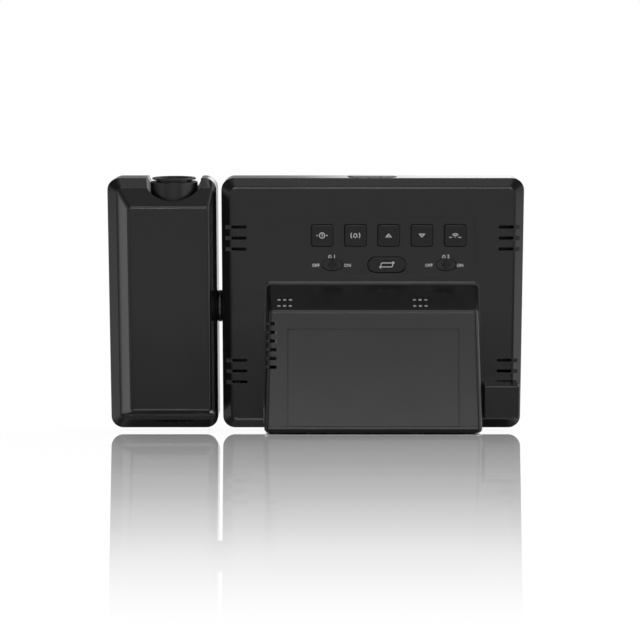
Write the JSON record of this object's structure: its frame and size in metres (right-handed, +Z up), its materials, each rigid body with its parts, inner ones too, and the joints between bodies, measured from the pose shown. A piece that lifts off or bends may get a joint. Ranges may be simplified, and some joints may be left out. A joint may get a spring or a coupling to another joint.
{
  "type": "projection alarm clock",
  "caption": "Leaned-back bedside clock on a battery stand, with push buttons on its back and a swivelling projector arm whose lens focuses by a ring.",
  "frame": {"origin": "centre of the overall box at desk level", "axes": "+Z up, +X along the clock towards the projector arm, +Y to the rear; the display faces -Y"},
  "size_m": [0.2064, 0.0508, 0.129],
  "materials": {
    "housing_plastic": "fine matt texture, black",
    "stand_plastic": "fine matt texture, black",
    "button_plastic": "smooth satin, black",
    "ring_plastic": "satin, black",
    "window_plastic": "polished, smoked black",
    "display_glass": "clear",
    "diffuser_plastic": "milky",
    "white_plastic": "moulded, white",
    "circuit_board": "green solder mask",
    "black_parts": "moulded, black",
    "socket_plastic": "moulded, black",
    "screw_steel": "zinc plated",
    "shaft_plastic": "moulded, black",
    "washer_felt": "felt",
    "screen_felt": "white felt",
    "lens_glass": "clear, polished",
    "led_plastic": "clear resin",
    "foot_rubber": "soft, matt",
    "cell_label": "plain printed sleeve",
    "contact_metal": "nickel plated"
  },
  "bodies": {
    "housing": {"front_housing": "housing_plastic", "rear_cover": "housing_plastic", "display_window": "window_plastic", "display_panel": "display_glass", "light_diffuser": "diffuser_plastic", "backlight_frame": "white_plastic", "main_board": "circuit_board", "board_screws": "screw_steel", "board_parts": "black_parts", "buzzer": "black_parts", "tact_switches": "black_parts", "slide_switch_bodies": "black_parts", "power_socket": "socket_plastic", "socket_pin": "contact_metal", "stand_screws": "screw_steel", "stand_housing": "stand_plastic", "base_plate": "stand_plastic", "rubber_feet": "foot_rubber", "vent_screens": "screen_felt", "batteries": "cell_label", "battery_contacts": "contact_metal"},
    "arm": {"arm_front_shell": "housing_plastic", "arm_back_shell": "housing_plastic", "optics_tube": "shaft_plastic", "led_board": "circuit_board", "projector_led": "led_plastic", "condenser_lens": "lens_glass", "image_panel": "display_glass", "swivel_shaft": "shaft_plastic", "friction_washer": "washer_felt", "retaining_clip": "screw_steel"},
    "focus_ring": {"focus_ring": "ring_plastic"},
    "lens_cell": {"lens_cell": "ring_plastic", "projection_lens": "lens_glass", "lens_retainer": "ring_plastic"},
    "time_button": {"time_button": "button_plastic"},
    "alarm_button": {"alarm_button": "button_plastic"},
    "up_button": {"up_button": "button_plastic"},
    "down_button": {"down_button": "button_plastic"},
    "mode_button": {"mode_button": "button_plastic"},
    "flip_button": {"flip_button": "button_plastic"},
    "snooze_button": {"snooze_button": "button_plastic"},
    "alarm_one_slider": {"alarm_one_slider": "button_plastic"},
    "alarm_two_slider": {"alarm_two_slider": "button_plastic"},
    "battery_door": {"battery_door": "stand_plastic"}
  },
  "joints": [
    {"name": "arm_swivel", "type": "hinge", "parent": "housing", "child": "arm", "pos_m": [0.0481, -0.00435, 0.06325], "axis": [1, 0, 0], "range_deg": [-90, 90]},
    {"name": "focus_turn", "type": "hinge", "parent": "arm", "child": "focus_ring", "pos_m": [0.07035, 0.00805, 0.11596], "axis": [0, 0.1564, 0.9877], "range_deg": [-60, 60]},
    {"name": "lens_slide", "type": "slide", "parent": "arm", "child": "lens_cell", "axis": [0, 0.1564, 0.9877], "range_m": [-0.00102, 0.00102]},
    {"name": "time_button_press", "type": "slide", "parent": "housing", "child": "time_button", "axis": [0, -0.9877, 0.1564], "range_m": [0, 0.0008], "stiffness_N_per_m": 1200},
    {"name": "alarm_button_press", "type": "slide", "parent": "housing", "child": "alarm_button", "axis": [0, -0.9877, 0.1564], "range_m": [0, 0.0008], "stiffness_N_per_m": 1200},
    {"name": "up_button_press", "type": "slide", "parent": "housing", "child": "up_button", "axis": [0, -0.9877, 0.1564], "range_m": [0, 0.0008], "stiffness_N_per_m": 1200},
    {"name": "down_button_press", "type": "slide", "parent": "housing", "child": "down_button", "axis": [0, -0.9877, 0.1564], "range_m": [0, 0.0008], "stiffness_N_per_m": 1200},
    {"name": "mode_button_press", "type": "slide", "parent": "housing", "child": "mode_button", "axis": [0, -0.9877, 0.1564], "range_m": [0, 0.0008], "stiffness_N_per_m": 1200},
    {"name": "flip_button_press", "type": "slide", "parent": "housing", "child": "flip_button", "axis": [0, -0.9877, 0.1564], "range_m": [0, 0.0008], "stiffness_N_per_m": 1200},
    {"name": "snooze_press", "type": "slide", "parent": "housing", "child": "snooze_button", "axis": [0, -0.1564, -0.9877], "range_m": [0, 0.0008], "stiffness_N_per_m": 1200},
    {"name": "alarm_one_slide", "type": "slide", "parent": "housing", "child": "alarm_one_slider", "axis": [1, 0, 0], "range_m": [-0.0012, 0.0012]},
    {"name": "alarm_two_slide", "type": "slide", "parent": "housing", "child": "alarm_two_slider", "axis": [1, 0, 0], "range_m": [-0.0012, 0.0012]},
    {"name": "battery_door_lift", "type": "slide", "parent": "housing", "child": "battery_door", "axis": [0, 1, 0], "range_m": [0, 0.012]}
  ],
  "couplings": [
    {"joint": "lens_slide", "follows": "focus_turn", "m_per_rad": 0.00095493}
  ]
}
